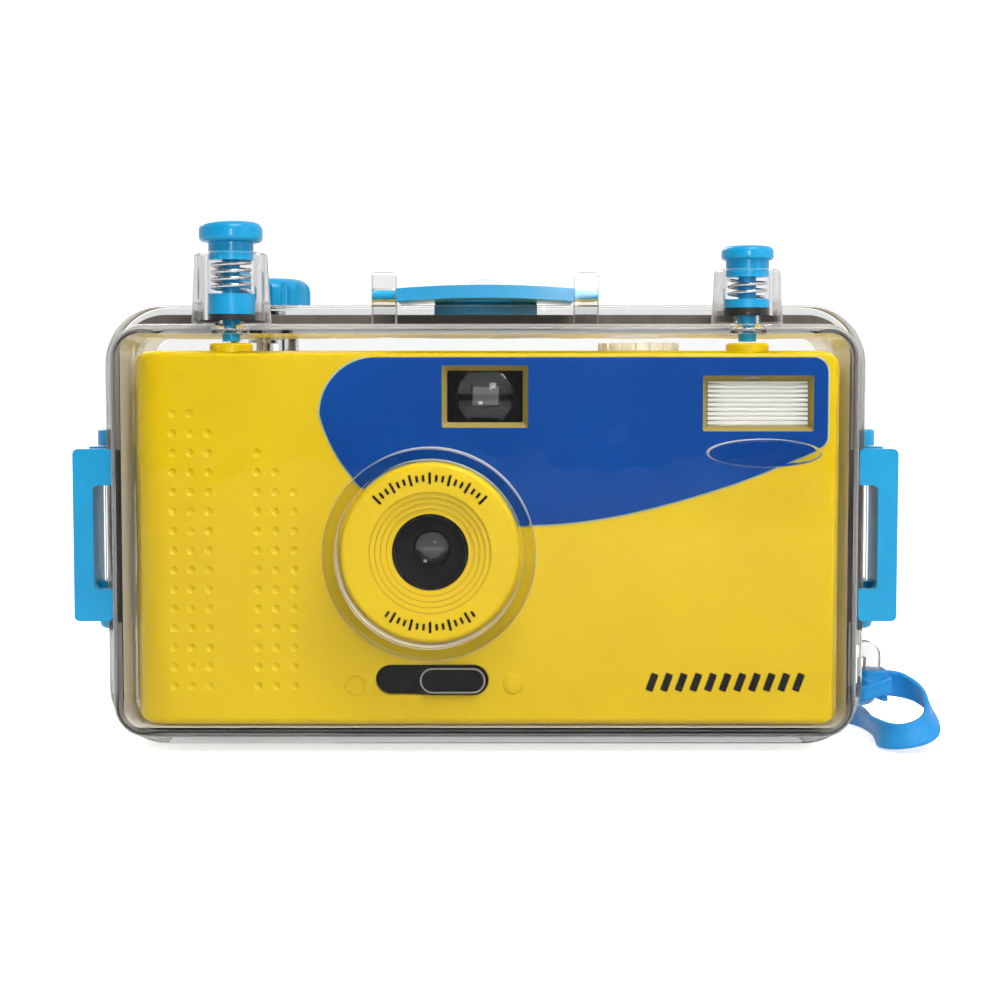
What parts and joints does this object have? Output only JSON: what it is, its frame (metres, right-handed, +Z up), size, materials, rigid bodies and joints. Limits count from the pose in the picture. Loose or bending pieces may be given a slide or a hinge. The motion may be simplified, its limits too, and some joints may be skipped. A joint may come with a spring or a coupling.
{
  "type": "waterproof film camera",
  "caption": "Compact flash film camera in a clear waterproof housing with side latches, top hasp, sealed push buttons, winding knob and wrist strap.",
  "frame": {"origin": "on the surface it stands on, under the middle of the housing's box without the strap", "axes": "+X along the camera, from its winding side to its strap side; +Y from the lens to the back; +Z up"},
  "size_m": [0.1481, 0.084, 0.0894],
  "materials": {
    "clear_plastic": "clear, polished",
    "clear_lens": "clear, polished",
    "gasket_rubber": "matt",
    "blue_plastic": "gloss",
    "steel": "satin",
    "yellow_plastic": "fine satin",
    "label_blue": "printed film, gloss",
    "black_plastic": "matt",
    "white_plastic": "satin",
    "cartridge_metal": "lacquered",
    "reflector_chrome": "mirror",
    "tube_glass": "clear",
    "board_green": "satin",
    "sleeve_black": "gloss",
    "cell_metal": "lacquered",
    "strap_blue": "woven cord"
  },
  "bodies": {
    "housing": {"front_shell": "clear_plastic", "back_shell": "clear_plastic", "shell_gasket": "gasket_rubber", "latch_pin_right": "blue_plastic", "latch_pin_left": "blue_plastic", "shutter_seal": "gasket_rubber", "shutter_bushing": "blue_plastic", "shutter_spring": "steel", "flash_seal": "gasket_rubber", "flash_bushing": "blue_plastic", "flash_spring": "steel", "wind_seal": "gasket_rubber", "camera_front_cover": "yellow_plastic", "front_label": "label_blue", "camera_back_door": "yellow_plastic", "lens_hood": "black_plastic", "lens_board": "black_plastic", "front_lens": "clear_lens", "chassis": "black_plastic", "rear_lens": "clear_lens", "film_cartridge": "cartridge_metal", "pressure_plate": "black_plastic", "pressure_spring": "steel", "finder_tunnel": "black_plastic", "finder_front_lens": "clear_lens", "finder_rear_lens": "clear_lens", "flash_lens": "clear_lens", "flash_reflector": "reflector_chrome", "flash_tube": "tube_glass", "flash_board": "board_green", "flash_capacitor": "sleeve_black", "battery_cell": "cell_metal", "battery_contacts": "steel", "body_screws": "steel", "strap_hitch": "strap_blue", "wrist_strap": "strap_blue"},
    "right_latch": {"latch_lever_right": "blue_plastic"},
    "left_latch": {"latch_lever_left": "blue_plastic"},
    "hasp": {"top_hasp": "blue_plastic"},
    "shutter_press": {"shutter_plunger": "blue_plastic", "shutter_clip": "steel"},
    "flash_press": {"flash_plunger": "blue_plastic", "flash_clip": "steel"},
    "shutter_button": {"camera_shutter_button": "yellow_plastic"},
    "flash_button": {"camera_flash_button": "yellow_plastic"},
    "winder": {"wind_knob": "blue_plastic", "wind_shaft": "steel", "wind_gear": "blue_plastic", "wind_clip": "steel"},
    "take_up": {"thumb_wheel": "black_plastic", "take_up_spool": "black_plastic"},
    "sprocket_drum": {"sprocket": "white_plastic"},
    "counter_disc": {"frame_counter": "white_plastic"},
    "rewinder": {"rewind_knob": "white_plastic"},
    "slider": {"cover_slider": "black_plastic"},
    "cover_blade": {"lens_cover": "black_plastic"},
    "shutter": {"shutter_blade": "steel"}
  },
  "joints": [
    {"name": "right_latch_hinge", "type": "hinge", "parent": "housing", "child": "right_latch", "pos_m": [0.0662, 0.00686, 0.0366], "axis": [0, 0, 1], "range_deg": [0, 100]},
    {"name": "left_latch_hinge", "type": "hinge", "parent": "housing", "child": "left_latch", "pos_m": [-0.0662, 0.00686, 0.0366], "axis": [0, 0, -1], "range_deg": [0, 100]},
    {"name": "hasp_hinge", "type": "hinge", "parent": "housing", "child": "hasp", "pos_m": [0, -0.00914, 0.0775], "axis": [1, 0, 0], "range_deg": [0, 100]},
    {"name": "shutter_press_slide", "type": "slide", "parent": "housing", "child": "shutter_press", "axis": [0, 0, -1], "range_m": [0, 0.0018], "stiffness_N_per_m": 400, "springref_m": -0.001, "deforming": ["shutter_spring"]},
    {"name": "flash_press_slide", "type": "slide", "parent": "housing", "child": "flash_press", "axis": [0, 0, -1], "range_m": [0, 0.0015], "stiffness_N_per_m": 400, "springref_m": -0.001, "deforming": ["flash_spring"]},
    {"name": "shutter_button_slide", "type": "slide", "parent": "housing", "child": "shutter_button", "axis": [0, 0, -1], "range_m": [0, 0.0018]},
    {"name": "flash_button_slide", "type": "slide", "parent": "housing", "child": "flash_button", "axis": [0, 0, -1], "range_m": [0, 0.0015]},
    {"name": "winder_spin", "type": "hinge", "parent": "housing", "child": "winder", "pos_m": [-0.041, 0.01764, 0.07], "axis": [0, 0, 1], "continuous": true},
    {"name": "take_up_spin", "type": "hinge", "parent": "housing", "child": "take_up", "pos_m": [-0.04602, 0.00586, 0.06], "axis": [0, 0, 1], "continuous": true},
    {"name": "sprocket_spin", "type": "hinge", "parent": "housing", "child": "sprocket_drum", "pos_m": [-0.0345, -0.00049, 0.04], "axis": [0, 0, 1], "continuous": true},
    {"name": "counter_spin", "type": "hinge", "parent": "housing", "child": "counter_disc", "pos_m": [-0.028, 0.00086, 0.06], "axis": [0, 0, 1], "continuous": true},
    {"name": "rewind_spin", "type": "hinge", "parent": "housing", "child": "rewinder", "pos_m": [0.0265, -0.00154, 0.065], "axis": [0, 0, 1], "continuous": true},
    {"name": "slider_slide", "type": "slide", "parent": "housing", "child": "slider", "axis": [-1, 0, 0], "range_m": [0, 0.007]},
    {"name": "cover_blade_hinge", "type": "hinge", "parent": "housing", "child": "cover_blade", "pos_m": [-0.009, -0.01389, 0.02], "axis": [0, 1, 0], "range_deg": [0, 54]},
    {"name": "shutter_hinge", "type": "hinge", "parent": "housing", "child": "shutter", "pos_m": [-0.0015, -0.00924, 0.027], "axis": [0, 1, 0], "range_deg": [0, 45], "stiffness_Nm_per_rad": 0.0005, "springref_deg": -17.19}
  ],
  "couplings": [
    {"joint": "shutter_button_slide", "follows": "shutter_press_slide", "ratio": 1},
    {"joint": "flash_button_slide", "follows": "flash_press_slide", "ratio": 1},
    {"joint": "take_up_spin", "follows": "winder_spin", "ratio": -0.33333},
    {"joint": "sprocket_spin", "follows": "winder_spin", "ratio": -0.275},
    {"joint": "counter_spin", "follows": "winder_spin", "ratio": 0.009},
    {"joint": "rewind_spin", "follows": "winder_spin", "ratio": -0.23},
    {"joint": "cover_blade_hinge", "follows": "slider_slide", "rad_per_m": 134.1}
  ]
}
